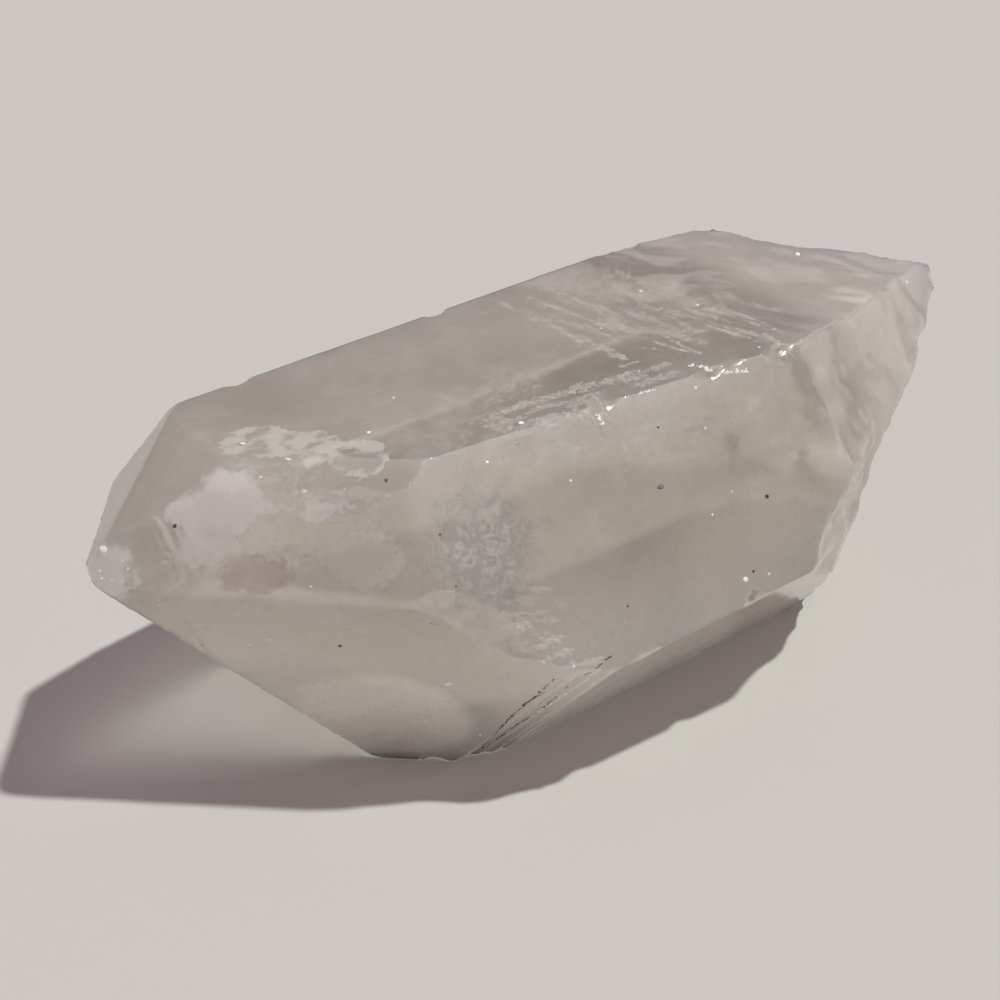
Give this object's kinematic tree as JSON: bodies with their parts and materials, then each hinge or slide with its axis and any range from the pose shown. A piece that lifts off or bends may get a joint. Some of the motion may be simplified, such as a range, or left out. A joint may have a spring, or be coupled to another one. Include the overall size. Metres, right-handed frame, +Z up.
{
  "type": "quartz crystal point",
  "caption": "Natural clear quartz crystal: a faceted prism with a blunt point at one end and a rough broken base at the other, lying on its side.",
  "frame": {"origin": "on the resting surface, below the middle of the crystal's box", "axes": "+Z up, the crystal's point towards -X, its broken base towards +X, the side that the picture shows towards -Y"},
  "size_m": [0.0796, 0.0392, 0.0269],
  "materials": {
    "quartz": "clear to slightly milky natural crystal, glossy growth faces, frosted worn edges and broken base"
  },
  "bodies": {
    "root": {"quartz_point": "quartz"}
  },
  "joints": []
}
